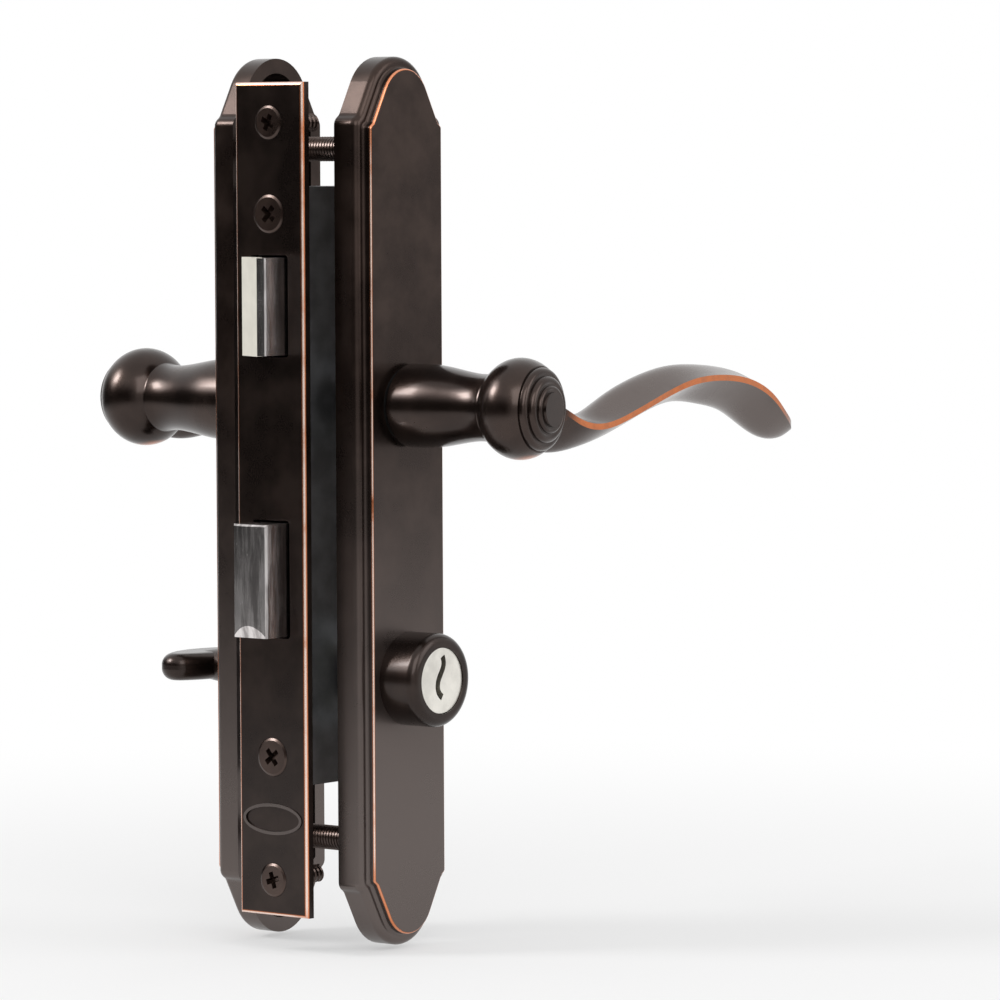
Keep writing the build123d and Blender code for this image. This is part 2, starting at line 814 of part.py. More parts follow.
with BuildPart() as case_cover:
    with BuildSketch(layer(case_y1)):
        with Locations(case_middle):
            Rectangle(case_depth, case_top - case_bottom)
        Circle(hub_journal + 2 * fit_gap, mode=Mode.SUBTRACT)
        with Locations((0, key_height)):
            Circle(hypot(blade_width, blade_thick) / 2 + running_gap, mode=Mode.SUBTRACT)
    extrude(amount=cover_thickness)
    with Locations(*[
        Plane(origin=(post_x, case_y1, height), z_dir=(0, 1, 0)) for height in cover_post_heights
    ]):
        CounterSinkHole(
            radius=cover_screw_thread / 2 + fit_gap,
            counter_sink_radius=cover_screw_head / 2 + fit_gap,
            counter_sink_angle=2 * head_angle,
        )
keep(case_cover, "case_cover")

cover_cone = (cover_screw_head - cover_screw_thread) / 2 / tan(radians(head_angle))
with BuildPart() as cover_screws:
    for height in cover_post_heights:
        with BuildSketch(Plane.XY.offset(height)):
            with BuildLine():
                Polyline(
                    (post_x, case_y1),
                    (post_x + cover_screw_head / 2, case_y1),
                    (post_x + cover_screw_thread / 2, case_y1 - cover_cone),
                    (post_x + cover_screw_thread / 2, case_y1 - cover_screw_length),
                    (post_x, case_y1 - cover_screw_length),
                    close=True,
                )
            make_face()
        revolve(axis=Axis((post_x, 0, height), (0, 1, 0)))
keep(cover_screws, "cover_screws")

# Faceplate with its bolt openings, countersinks and the rim of the blank oval stamp
with BuildPart() as faceplate:
    with BuildSketch(Plane.YZ.offset(face_x)):
        with Locations((lock_y, faceplate_centre)):
            Rectangle(faceplate_width, faceplate_top - faceplate_bottom)
        with Locations((lock_y, latch_height)):
            RectangleRounded(
                latch_thick + 2 * slide_gap, latch_tall + 2 * slide_gap, opening_corner, mode=Mode.SUBTRACT
            )
        with Locations((lock_y, bolt_height)):
            RectangleRounded(
                latch_thick + 2 * slide_gap, bolt_tall + 2 * slide_gap, opening_corner, mode=Mode.SUBTRACT
            )
    extrude(amount=faceplate_thickness)
    fillet(faceplate.faces().sort_by(Axis.X)[0].outer_wire().edges(), faceplate_round)
    for heights, head, thread in (
        (case_screw_heights, case_screw_head, case_screw_thread),
        (edge_screw_heights, edge_screw_head, edge_screw_thread),
    ):
        with Locations(*[Plane(origin=(face_x, lock_y, height), z_dir=(-1, 0, 0)) for height in heights]):
            CounterSinkHole(
                radius=thread / 2 + 2 * fit_gap,
                counter_sink_radius=head / 2 + fit_gap,
                counter_sink_angle=2 * head_angle,
            )
    with BuildSketch(Plane.YZ.offset(face_x)):
        with Locations((lock_y, stamp_height)):
            Ellipse(stamp_length / 2, stamp_width / 2)
    extrude(amount=-stamp_rise)
    with BuildSketch(Plane.YZ.offset(face_x - stamp_rise)):
        with Locations((lock_y, stamp_height)):
            Ellipse(stamp_length / 2 - stamp_rim, stamp_width / 2 - stamp_rim)
    extrude(amount=stamp_rise + stamp_depth, mode=Mode.SUBTRACT)
keep(faceplate, "faceplate")

with BuildPart() as faceplate_screws:
    with Locations(*[
        Location((face_x, lock_y, height), (turn, 0, 0))
        for height, turn in zip(case_screw_heights, case_screw_turns)
    ]):
        add(flat_head_screw(case_screw_head, case_screw_thread, case_screw_length))
keep(faceplate_screws, "faceplate_screws")

with BuildPart() as door_edge_screws:
    with Locations(*[
        Location((face_x, lock_y, height), (turn, 0, 0))
        for height, turn in zip(edge_screw_heights, edge_screw_turns)
    ]):
        add(flat_head_screw(edge_screw_head, edge_screw_thread, edge_screw_length))
keep(door_edge_screws, "door_edge_screws")

# Latch bolt: bevelled head with a strip of nylon on the bevel, and a tail with jaws round the hub arm
latch_low = latch_height - latch_tall / 2
side_out = lock_y - latch_thick / 2
side_in = lock_y + latch_thick / 2
latch_rear = case_front + latch_body
arm_x = -hub_arm * sin(swing)
arm_z = hub_arm * cos(swing)
arm_room = arm_tip + jaw_gap
with BuildPart() as latch_bolt:
    with BuildSketch(Plane.XY.offset(latch_low)):
        with BuildLine():
            Polyline(
                (latch_rear, side_out),
                (latch_nose_x, side_out),
                (latch_nose_x, side_out + latch_nose),
                (latch_nose_x + insert_thickness, side_out + latch_nose),
                (latch_nose_x + insert_thickness + latch_bevel_drop, side_in),
                (latch_rear, side_in),
                close=True,
            )
        make_face()
    extrude(amount=latch_tall)
    fillet(latch_bolt.edges().filter_by(Axis.Z).sort_by(Axis.X)[:2].sort_by(Axis.Y)[0], latch_edge)
    with BuildSketch(layer(lock_y + tail_thick / 2)):
        with BuildLine():
            Polyline(
                (latch_rear - latch_edge, tail_low),
                (latch_rear - latch_edge, tail_high),
                (arm_x + arm_room + jaw_wall, tail_high),
                (arm_x + arm_room + jaw_wall, hub_radius + 2 * running_gap),
                (arm_x + arm_room, hub_radius + 2 * running_gap),
                (arm_x + arm_room, tail_low),
                (arm_x - arm_room, tail_low),
                (arm_x - arm_room, hub_radius + 2 * running_gap),
                (arm_x - arm_room - jaw_wall, hub_radius + 2 * running_gap),
                (arm_x - arm_room - jaw_wall, tail_low),
                close=True,
            )
        make_face()
    extrude(amount=tail_thick)
    with BuildSketch(Plane.YZ.offset(latch_rear)):
        with Locations((lock_y, spring_height)):
            Circle((spring_coil + spring_wire) / 2 + running_gap)
    extrude(amount=-spring_pocket, mode=Mode.SUBTRACT)
keep(latch_bolt, "latch_bolt")

with BuildPart() as latch_insert:
    with BuildSketch(Plane.XY.offset(latch_low - insert_overhang)):
        with BuildLine():
            Polyline(
                (latch_nose_x, side_out + latch_nose),
                (latch_nose_x + latch_bevel_drop, side_in),
                (latch_nose_x + insert_thickness + latch_bevel_drop, side_in),
                (latch_nose_x + insert_thickness, side_out + latch_nose),
                close=True,
            )
        make_face()
    extrude(amount=latch_tall + 2 * insert_overhang)
keep(latch_insert, "latch_insert")

spring_start = latch_rear - spring_pocket + fit_gap + spring_wire / 2
spring_length = inner_back - fit_gap - spring_wire / 2 - spring_start
with BuildPart() as latch_spring:
    with BuildLine() as coil:
        Helix(
            pitch=spring_length / spring_turns,
            height=spring_length,
            radius=spring_coil / 2,
            center=(spring_start, lock_y, spring_height),
            direction=(1, 0, 0),
        )
    with BuildSketch(Plane(origin=coil.line @ 0, z_dir=coil.line % 0)):
        Circle(spring_wire / 2)
    sweep(is_frenet=True)
keep(latch_spring, "latch_spring")

# Lever hub: square hole, journals in the case walls, a flat for the leaf spring and the latch arm
with BuildPart() as lever_hub:
    with BuildSketch(layer(cover_y - running_gap)):
        Circle(hub_radius)
        with Locations((0, -hub_flat - hub_radius / 2)):
            Rectangle(2 * hub_radius, hub_radius, mode=Mode.SUBTRACT)
    extrude(amount=cover_y - floor_y - 2 * running_gap)
    with BuildSketch(layer(case_y1)):
        Circle(hub_journal)
    extrude(amount=case_width)
    with BuildSketch(layer(lock_y + arm_thick / 2)):
        with BuildLine():
            Line((0, 0), (arm_x, arm_z))
        trace(line_width=arm_shank)
        with Locations((arm_x, arm_z)):
            Circle(arm_tip)
    extrude(amount=arm_thick)
    with BuildSketch(layer(case_y1)):
        Rectangle(spindle_side + 2 * fit_gap, spindle_side + 2 * fit_gap)
    extrude(amount=case_width, mode=Mode.SUBTRACT)
keep(lever_hub, "lever_hub")

# Leaf spring under the flat of the hub, hooked over its rib
with BuildPart() as hub_spring:
    with BuildSketch(layer(lock_y + leaf_width / 2)):
        with BuildLine():
            Polyline(
                (inner_front + fit_gap, hub_leaf_z),
                (inner_front + leaf_rib + fit_gap, hub_leaf_z),
                (inner_front + leaf_rib + fit_gap, hub_leaf_z - leaf_rib / 2),
                (inner_front + leaf_rib + fit_gap + leaf_thick, hub_leaf_z - leaf_rib / 2),
                (inner_front + leaf_rib + fit_gap + leaf_thick, hub_leaf_z),
                (hub_leaf_end, hub_leaf_z),
                (hub_leaf_end, hub_leaf_z + leaf_thick),
                (inner_front + fit_gap, hub_leaf_z + leaf_thick),
                close=True,
            )
        make_face()
    extrude(amount=leaf_width)
keep(hub_spring, "hub_spring")

# Deadbolt: solid head with a crowned nose and a facet under it, and a thin tail with jaws round the cam's pin
bolt_low = bolt_height - bolt_tall / 2
bolt_rear = case_front + bolt_body
crank_x = -crank_radius * sin(half_turn)
crank_z = crank_radius * cos(half_turn)
crank_room = crank_pin + jaw_gap
cam_end = floor_y + running_gap + cam_thick
bolt_tail_y = cam_end + running_gap + bolt_tail_thick
jaw_low = key_height + hypot(blade_width, blade_thick) / 2 + slide_gap
notch_top = key_height + crank_radius + crank_pin + jaw_gap
with BuildPart() as deadbolt:
    with BuildSketch(Plane.XY.offset(bolt_low)):
        with BuildLine():
            ThreePointArc(
                (bolt_nose_x + bolt_crown, side_out),
                (bolt_nose_x, lock_y),
                (bolt_nose_x + bolt_crown, side_in),
            )
            Polyline(
                (bolt_nose_x + bolt_crown, side_in),
                (bolt_rear, side_in),
                (bolt_rear, side_out),
                (bolt_nose_x + bolt_crown, side_out),
            )
        make_face()
    extrude(amount=bolt_tall)
    chamfer(deadbolt.faces().sort_by(Axis.X)[0].edges().sort_by(Axis.Z)[1:], bolt_edge)
    with BuildSketch(layer(side_in + slide_gap)):
        with BuildLine():
            Polyline(
                (bolt_nose_x, bolt_low + bolt_facet),
                (bolt_nose_x + bolt_crown, bolt_low),
                (bolt_nose_x, bolt_low),
                close=True,
            )
        make_face()
    extrude(amount=latch_thick + 2 * slide_gap, mode=Mode.SUBTRACT)
    with BuildSketch(layer(bolt_tail_y)):
        with BuildLine():
            Polyline(
                (bolt_rear - bolt_tail_overlap, bolt_low + bolt_edge),
                (bolt_rear - bolt_tail_overlap, bolt_tail_high),
                (crank_x + crank_room + jaw_wall, bolt_tail_high),
                (crank_x + crank_room + jaw_wall, jaw_low),
                (crank_x + crank_room, jaw_low),
                (crank_x + crank_room, notch_top),
                (crank_x - crank_room, notch_top),
                (crank_x - crank_room, jaw_low),
                (crank_x - crank_room - jaw_wall, jaw_low),
                (crank_x - crank_room - jaw_wall, bolt_low + bolt_edge),
                close=True,
            )
        make_face()
    extrude(amount=bolt_tail_thick)
keep(deadbolt, "deadbolt")

with BuildPart() as deadbolt_cam:
    with BuildSketch(layer(cam_end, key_height)):
        Circle(cam_radius)
    extrude(amount=cam_thick)
    with BuildSketch(layer(floor_y + running_gap, key_height)):
        Circle(cam_journal)
    extrude(amount=running_gap + case_floor)
    with BuildSketch(layer(bolt_tail_y, key_height)):
        with Locations((crank_x, crank_z)):
            Circle(crank_pin)
    extrude(amount=bolt_tail_y - cam_end)
    with BuildSketch(layer(cam_end, key_height)):
        Rectangle(blade_width + 2 * fit_gap, blade_thick + 2 * fit_gap)
    extrude(amount=cam_end - case_y0, mode=Mode.SUBTRACT)
keep(deadbolt_cam, "deadbolt_cam")

# Leaf spring above the deadbolt, under its rib at the back of the case, with a rounded dip near its end
dip_x = bolt_rear - bolt_leaf_dip
leaf_mid = bolt_leaf_z + leaf_thick / 2
with BuildPart() as deadbolt_spring:
    with BuildSketch(layer(lock_y + leaf_width / 2)):
        with BuildLine():
            FilletPolyline(
                (inner_back - fit_gap, leaf_mid),
                (dip_x + bolt_leaf_dip, leaf_mid),
                (dip_x, leaf_mid - bolt_leaf_rise),
                (dip_x - bolt_leaf_dip, leaf_mid),
                radius=bolt_leaf_bend,
            )
        trace(line_width=leaf_thick)
    extrude(amount=leaf_width)
keep(deadbolt_spring, "deadbolt_spring")
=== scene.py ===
import json
import math
import bpy
import bmesh
from mathutils import Matrix, Vector


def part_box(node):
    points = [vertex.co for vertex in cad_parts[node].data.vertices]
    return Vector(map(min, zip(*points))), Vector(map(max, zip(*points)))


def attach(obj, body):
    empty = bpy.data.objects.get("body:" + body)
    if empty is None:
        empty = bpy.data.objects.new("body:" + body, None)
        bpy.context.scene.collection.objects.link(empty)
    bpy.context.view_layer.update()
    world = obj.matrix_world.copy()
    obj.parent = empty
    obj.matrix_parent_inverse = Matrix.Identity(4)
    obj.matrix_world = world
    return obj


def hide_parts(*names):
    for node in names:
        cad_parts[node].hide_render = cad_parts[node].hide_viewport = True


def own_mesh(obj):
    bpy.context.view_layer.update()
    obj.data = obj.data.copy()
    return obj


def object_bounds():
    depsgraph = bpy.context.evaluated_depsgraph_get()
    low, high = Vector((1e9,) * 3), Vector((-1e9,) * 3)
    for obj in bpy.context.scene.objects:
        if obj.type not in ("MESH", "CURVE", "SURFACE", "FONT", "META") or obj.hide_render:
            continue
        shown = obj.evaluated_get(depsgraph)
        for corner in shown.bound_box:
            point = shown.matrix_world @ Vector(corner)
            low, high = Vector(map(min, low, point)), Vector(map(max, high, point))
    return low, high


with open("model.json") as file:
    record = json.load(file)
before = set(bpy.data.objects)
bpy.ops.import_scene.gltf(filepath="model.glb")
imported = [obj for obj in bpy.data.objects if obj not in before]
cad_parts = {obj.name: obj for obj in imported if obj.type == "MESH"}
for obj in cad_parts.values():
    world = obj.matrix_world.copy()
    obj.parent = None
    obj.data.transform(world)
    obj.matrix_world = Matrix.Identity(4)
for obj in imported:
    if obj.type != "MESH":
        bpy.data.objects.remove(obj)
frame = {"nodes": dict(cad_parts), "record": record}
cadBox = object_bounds()
scene = bpy.context.scene
nodes = frame["nodes"]
mm = 0.001
print("frame loaded:", len(nodes), "nodes")


class Wire:  # one output socket, so that shader maths reads as plain Python
    def __init__(self, tree, socket=None):
        self.tree = tree
        self.socket = socket

    # any node: its settings first, then the values or links of its sockets
    def node(self, kind, settings=None, inputs=None, output=0):
        made = self.tree.nodes.new("ShaderNode" + kind)
        for key, value in (settings or {}).items():
            setattr(made, key, value)
        for key, value in (inputs or {}).items():
            if isinstance(value, Wire):
                self.tree.links.new(value.socket, made.inputs[key])
            else:
                made.inputs[key].default_value = value
        return Wire(self.tree, made.outputs[output] if made.outputs else None)

    def maths(self, operation, *values):
        return self.node("Math", {"operation": operation}, dict(enumerate(values)))

    def __add__(self, other):
        return self.maths("ADD", self, other)

    def __radd__(self, other):
        return self.maths("ADD", other, self)

    def __sub__(self, other):
        return self.maths("SUBTRACT", self, other)

    def __rsub__(self, other):
        return self.maths("SUBTRACT", other, self)

    def __mul__(self, other):
        return self.maths("MULTIPLY", self, other)

    def __rmul__(self, other):
        return self.maths("MULTIPLY", other, self)

    def __abs__(self):
        return self.maths("ABSOLUTE", self)


def rise(value, low, high):  # 0 below low, 1 above high, smooth between
    return value.node("MapRange", {"interpolation_type": "SMOOTHSTEP"},
                      {"Value": value, "From Min": low, "From Max": high})


def band(value, low, high, soft):  # 1 between low and high, with soft ends
    return rise(value, low - soft, low + soft) * (1 - rise(value, high - soft, high + soft))


def blendColour(share, first, second):
    return share.node("Mix", {"data_type": "RGBA"}, {0: share, 6: first, 7: second}, output=2)


def tint(colour, share=1.0):  # a colour made lighter or darker, with its alpha
    return tuple(share * c for c in colour) + (1,)


def noise(where, size, detail=4, rough=0.55):  # cloudy pattern whose lumps are about size metres
    return where.node("TexNoise", {},
                      {"Vector": where, "Scale": 1 / size, "Detail": detail, "Roughness": rough})


def bumpFrom(height, strength, depth):
    return height.node("Bump", {}, {"Strength": strength, "Distance": depth, "Height": height})


def axes(where):
    return [where.node("SeparateXYZ", {}, {"Vector": where}, output=k) for k in range(3)]


def startFinish(name):
    material = bpy.data.materials.new(name)
    material.use_nodes = True
    material.node_tree.nodes.clear()
    where = Wire(material.node_tree).node("TexCoord", output="Object")
    return material, where


def endFinish(where, inputs):
    shader = where.node("BsdfPrincipled", {}, inputs)
    where.node("OutputMaterial", {}, {"Surface": shader})


bronze = {  # a pair that ends in Clouds says where in the noise a thing fades in
    "dark": (0.024, 0.015, 0.012),
    "warm": (0.040, 0.026, 0.021),
    "copper": (0.68, 0.19, 0.05),
    # lighter bronze, used for real polish and also for painted reflection and painted highlight
    "polishAndPaintedLight": (0.140, 0.115, 0.106),
    # the colour of the painted highlight down the middle of worn edges
    "paleHighlight": (1.0, 0.80, 0.70),
    "cloudSize": 11 * mm, "warmClouds": (0.35, 0.7), "roughClouds": (0.3, 0.75), "cloudRough": 0.08,
    "grainSize": 0.3 * mm, "grainRough": 0.05,
    "metallic": 0.9, "rough": 0.24, "rubShine": 0.06,
    "coat": 0.35, "coatRough": 0.16,
    "bump": 0.06, "bumpDepth": 0.04 * mm,
}


# lift lightens the bronze, gloss smooths it, and the wear function gives the shares of copper, of a pale
# painted highlight, and of polish together with painted reflection
def bronzeFinish(name, wearAndPaintedLight=None, lift=1.0, gloss=0.0, coat=bronze["coat"]):
    material, where = startFinish(name)
    clouds = noise(where, bronze["cloudSize"], detail=5)
    grain = noise(where, bronze["grainSize"], detail=3)
    warm = rise(clouds, *bronze["warmClouds"])
    colour = blendColour(warm, tint(bronze["dark"], lift), tint(bronze["warm"], lift))
    rough = bronze["rough"] - gloss + bronze["cloudRough"] * rise(clouds, *bronze["roughClouds"])
    rough = rough + bronze["grainRough"] * grain
    if wearAndPaintedLight:
        rub, highlightCore, polishAndPaintedLight = wearAndPaintedLight(where, clouds, grain)
        # the polish share also carries painted reflection, and the core share is a painted highlight
        colour = blendColour(polishAndPaintedLight, colour, tint(bronze["polishAndPaintedLight"]))
        colour = blendColour(rub, colour, tint(bronze["copper"]))
        colour = blendColour(highlightCore, colour, tint(bronze["paleHighlight"]))
        rough = rough - bronze["rubShine"] * rub
    endFinish(where, {"Base Color": colour, "Metallic": bronze["metallic"], "Roughness": rough,
                      "Normal": bumpFrom(grain, bronze["bump"], bronze["bumpDepth"]),
                      "Coat Weight": coat, "Coat Roughness": bronze["coatRough"]})
    return material


plateLow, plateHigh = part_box("exterior_escutcheon")[0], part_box("interior_escutcheon")[1]
plateMiddle, plateHalf = (plateLow + plateHigh) / 2, (plateHigh - plateLow) / 2
plateWearAndLight = {  # depths are measured in from the front face, heights from the plate's middle
    "line": (0.04 * mm, 0.44 * mm), "lineSoft": 0.02 * mm, "lineClouds": (0.15, 0.4),
    # the core is a painted highlight down the middle of the copper line, stronger on the straight sides than
    # on the arch
    "highlightCore": (0.08 * mm, 0.33 * mm), "coreSoft": 0.04 * mm, "coreClouds": (0.25, 0.5),
    "sideHighlight": 0.95, "archHighlight": 0.20, "archHeight": (74 * mm, 80 * mm),
    # polish here is painted reflection, lighter towards the bottom of the plate
    "polishAndPaintedLight": 0.95, "paintedReflectionHeight": (-83.9 * mm, 36.1 * mm),
}


def plateRubAndLight(where, clouds, grain):  # copper line on the last slope of the rim, with a painted highlight down its middle that is paler on the straight sides, and painted reflection that lightens the plate towards its bottom
    y, z = axes(where)[1:]
    depth = plateHalf.y - abs(y - plateMiddle.y)
    height = z - plateMiddle.z
    line = band(depth, *plateWearAndLight["line"], plateWearAndLight["lineSoft"])
    line = line * rise(clouds, *plateWearAndLight["lineClouds"])
    arch = rise(abs(height), *plateWearAndLight["archHeight"])
    paleHighlight = plateWearAndLight["sideHighlight"] - (plateWearAndLight["sideHighlight"] - plateWearAndLight["archHighlight"]) * arch
    # painted highlight along the middle of the copper line
    highlightCore = band(depth, *plateWearAndLight["highlightCore"], plateWearAndLight["coreSoft"])
    highlightCore = highlightCore * rise(clouds, *plateWearAndLight["coreClouds"]) * paleHighlight
    # painted reflection: the plate is lighter towards its bottom
    return line, highlightCore, plateWearAndLight["polishAndPaintedLight"] * (1 - rise(height, *plateWearAndLight["paintedReflectionHeight"]))


edgeWearAndHighlight = {  # distances in from the outline, depths in from the crest of the stamp
    "rub": (0.434 * mm, 0.775 * mm), "rubDepth": (0.83 * mm, 1.03 * mm), "rubClouds": (0.1, 0.35),
    # the core is the painted highlight down the middle of the rounded edges
    "highlightCore": (0.10 * mm, 0.465 * mm), "coreSoft": 0.08 * mm, "coreClouds": (0.25, 0.5), "paleHighlight": 0.95,
    # the stamp share lightens the raised oval, partly rubbed and partly a painted highlight
    "stamp": 0.8, "stampDepth": (0.05 * mm, 0.20 * mm),
}


def edgeRubAndHighlight(where, clouds, grain):  # copper on the faceplate's rounded edges with a painted highlight down their middle, and on its raised stamp a lighter rub that is partly a painted highlight
    x, y, z = axes(where)
    low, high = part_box("faceplate")
    middle, half = (low + high) / 2, (high - low) / 2
    inside = x.maths("MINIMUM", half.y - abs(y - middle.y), half.z - abs(z - middle.z))
    depth = x - low.x
    front = 1 - rise(depth, *edgeWearAndHighlight["rubDepth"])
    rub = (1 - rise(inside, *edgeWearAndHighlight["rub"])) * front * rise(clouds, *edgeWearAndHighlight["rubClouds"])
    # painted highlight along the rounded edges
    highlightCore = band(inside, *edgeWearAndHighlight["highlightCore"], edgeWearAndHighlight["coreSoft"]) * front
    highlightCore = highlightCore * rise(clouds, *edgeWearAndHighlight["coreClouds"]) * edgeWearAndHighlight["paleHighlight"]
    # raised stamp made lighter, partly rubbed and partly a painted highlight
    stamp = edgeWearAndHighlight["stamp"] * (1 - rise(depth, *edgeWearAndHighlight["stampDepth"]))
    return rub, highlightCore, stamp


leverWearAndHighlight = {
    "facing": (0.90, 0.92), "ridgeStart": (9 * mm, 16 * mm), "ridgeEnd": (84 * mm, 92 * mm), "endShare": 0.3,
    # the pale share is a faint painted highlight on the ridge
    "patchSize": 2.2 * mm, "patchClouds": (0.32, 0.58), "patchShare": 0.2, "paleHighlight": 0.04,
    "wornClouds": (0.35, 0.6), "wornGrain": 0.25,
    "underHeight": (-10.4 * mm, -9.3 * mm), "underCentre": 1.5 * mm, "underReach": (2 * mm, 6 * mm),
    "underShare": 0.6, "polishStart": (10 * mm, 30 * mm), "polishAndPaintedLight": 0.65,
}


def leverRubAndHighlight(where, clouds, grain):  # copper along the ridge of the blade with a faint painted highlight, a rub under the ball, and polish on the handled blade
    x, y, z = axes(where)
    normal = where.node("NewGeometry", output="True Normal")
    outward = y.maths("SIGN", y - plateMiddle.y)
    facing = outward * where.node("SeparateXYZ", {}, {"Vector": normal}, output=1)
    worn = rise(clouds + leverWearAndHighlight["wornGrain"] * grain, *leverWearAndHighlight["wornClouds"])
    patchy = rise(noise(where, leverWearAndHighlight["patchSize"]), *leverWearAndHighlight["patchClouds"])
    ridge = rise(facing, *leverWearAndHighlight["facing"]) * rise(x, *leverWearAndHighlight["ridgeStart"])
    ridge = ridge * (1 - leverWearAndHighlight["patchShare"] + leverWearAndHighlight["patchShare"] * patchy)
    ridge = ridge * (1 - (1 - leverWearAndHighlight["endShare"]) * rise(x, *leverWearAndHighlight["ridgeEnd"]))
    across = abs(x - leverWearAndHighlight["underCentre"])
    under = (1 - rise(z, *leverWearAndHighlight["underHeight"])) * (1 - rise(across, *leverWearAndHighlight["underReach"]))
    rub = ridge.maths("MAXIMUM", ridge, under * worn * leverWearAndHighlight["underShare"])
    handled = leverWearAndHighlight["polishAndPaintedLight"] + (1 - leverWearAndHighlight["polishAndPaintedLight"]) * worn
    # the middle share is a faint painted highlight on the ridge
    return rub, ridge * worn * leverWearAndHighlight["paleHighlight"], rise(x, *leverWearAndHighlight["polishStart"]) * handled


metals = {
    "satin nickel": {"base": (0.93, 0.90, 0.83), "rough": 0.30, "spread": 0.12,
                     "grain": 0.20 * mm, "bump": 0.10},
    "zinc steel": {"base": (0.50, 0.51, 0.52), "rough": 0.30, "spread": 0.18,
                   "grain": 0.50 * mm, "bump": 0.15},
    "spring steel": {"base": (0.40, 0.40, 0.42), "rough": 0.25, "spread": 0.10,
                     "grain": 0.50 * mm, "bump": 0.10},
    "plain steel": {"base": (0.50, 0.50, 0.51), "rough": 0.30, "spread": 0.10,
                    "grain": 0.50 * mm, "bump": 0.15},
}
metalTone = {"cloudSize": 5 * mm, "clouds": (0.3, 0.7), "dark": 0.78, "bumpDepth": 0.08 * mm}


def metalFinish(name):
    metal = metals[name]
    material, where = startFinish(name)
    clouds = noise(where, metalTone["cloudSize"], detail=5)
    grain = noise(where, metal["grain"], rough=0.6)
    light = rise(clouds, *metalTone["clouds"])
    colour = blendColour(light, tint(metal["base"], metalTone["dark"]), tint(metal["base"]))
    rough = metal["rough"] + metal["spread"] * clouds
    endFinish(where, {"Base Color": colour, "Metallic": 1.0, "Roughness": rough,
                      "Normal": bumpFrom(grain, metal["bump"], metalTone["bumpDepth"])})
    return material


nylons = {
    "ivory nylon": {"base": (0.69, 0.66, 0.58), "rough": 0.45},
    "black nylon": {"base": (0.012, 0.011, 0.011), "rough": 0.55},
}
nylonTone = {"cloudSize": 4 * mm, "clouds": (0.3, 0.7), "dark": 0.9, "cloudRough": 0.1,
             "grainSize": 0.4 * mm, "bump": 0.15, "bumpDepth": 0.05 * mm}


def nylonFinish(name):
    nylon = nylons[name]
    material, where = startFinish(name)
    clouds = noise(where, nylonTone["cloudSize"])
    grain = noise(where, nylonTone["grainSize"], detail=3)
    light = rise(clouds, *nylonTone["clouds"])
    colour = blendColour(light, tint(nylon["base"], nylonTone["dark"]), tint(nylon["base"]))
    endFinish(where, {"Base Color": colour, "Roughness": nylon["rough"] + nylonTone["cloudRough"] * clouds,
                      "Normal": bumpFrom(grain, nylonTone["bump"], nylonTone["bumpDepth"])})
    return material


chrome = {
    "light": (0.92, 0.875, 0.86), "dull": (0.30, 0.275, 0.27), "pits": (0.92, 0.90, 0.88),
    "streak": (0.8, 0.8, 0.10), "streakSize": 1.5 * mm, "streakClouds": (0.38, 0.64), "streakShare": 0.75,
    "pitSize": 0.5 * mm, "pitClouds": (0.60, 0.78), "pitGroups": (0.5, 0.65), "pitShare": 0.6, "pitBump": 0.6,
    "cloudSize": 6 * mm, "rough": 0.14, "cloudRough": 0.12, "pitRough": 0.25,
    "bump": 0.3, "bumpDepth": 0.06 * mm,
}


def chromeFinish(name, worn):  # plated bolt, with dull streaks along its height and bright pits
    material, where = startFinish(name)
    stretched = where.node("Mapping", {}, {"Vector": where, "Scale": chrome["streak"]})
    streaks = rise(noise(stretched, chrome["streakSize"], detail=5, rough=0.6), *chrome["streakClouds"])
    clouds = noise(where, chrome["cloudSize"])
    pits = rise(noise(where, chrome["pitSize"], detail=3, rough=0.7), *chrome["pitClouds"])
    pits = chrome["pitShare"] * worn * pits * rise(clouds, *chrome["pitGroups"])
    dull = worn * (1 - chrome["streakShare"] + chrome["streakShare"] * streaks)
    colour = blendColour(dull, tint(chrome["light"]), tint(chrome["dull"]))
    colour = blendColour(pits, colour, tint(chrome["pits"]))
    rough = chrome["rough"] + chrome["cloudRough"] * clouds + chrome["pitRough"] * pits
    bump = bumpFrom(streaks + chrome["pitBump"] * pits, chrome["bump"] * worn, chrome["bumpDepth"])
    endFinish(where, {"Base Color": colour, "Metallic": 1.0, "Roughness": rough, "Normal": bump})
    return material


finishes = {  # by the material slots of the record
    "aged_bronze": bronzeFinish("aged bronze"),
    "dark_screw": bronzeFinish("screw bronze", lift=2.2),
    "satin_nickel": metalFinish("satin nickel"),
    "bright_chrome": chromeFinish("latch chrome", 0.6),
    "ivory_nylon": nylonFinish("ivory nylon"),
    "black_nylon": nylonFinish("black nylon"),
    "zinc_steel": metalFinish("zinc steel"),
    "spring_steel": metalFinish("spring steel"),
    "plain_steel": metalFinish("plain steel"),
}
plateBronze = bronzeFinish("plate bronze", plateRubAndLight, lift=1.35, coat=0.15)
leverBronze = bronzeFinish("lever bronze", leverRubAndHighlight, lift=1.3, gloss=0.05)
ownFinish = {  # nodes that wear in their own way; the plates, faceplate and levers also carry painted highlights, and the plates painted reflection
    "exterior_escutcheon": plateBronze, "interior_escutcheon": plateBronze,
    "exterior_lever": leverBronze, "interior_lever": leverBronze,
    "faceplate": bronzeFinish("faceplate bronze", edgeRubAndHighlight),
    "deadbolt": chromeFinish("bolt chrome", 0.9),
}
slotOf = {part["node"]: part["material_slot"] for part in frame["record"]["subparts"]}
for name, slot in slotOf.items():
    nodes[name].data.materials.clear()
    nodes[name].data.materials.append(ownFinish.get(name, finishes[slot]))
print("finishes on", len(nodes), "nodes")


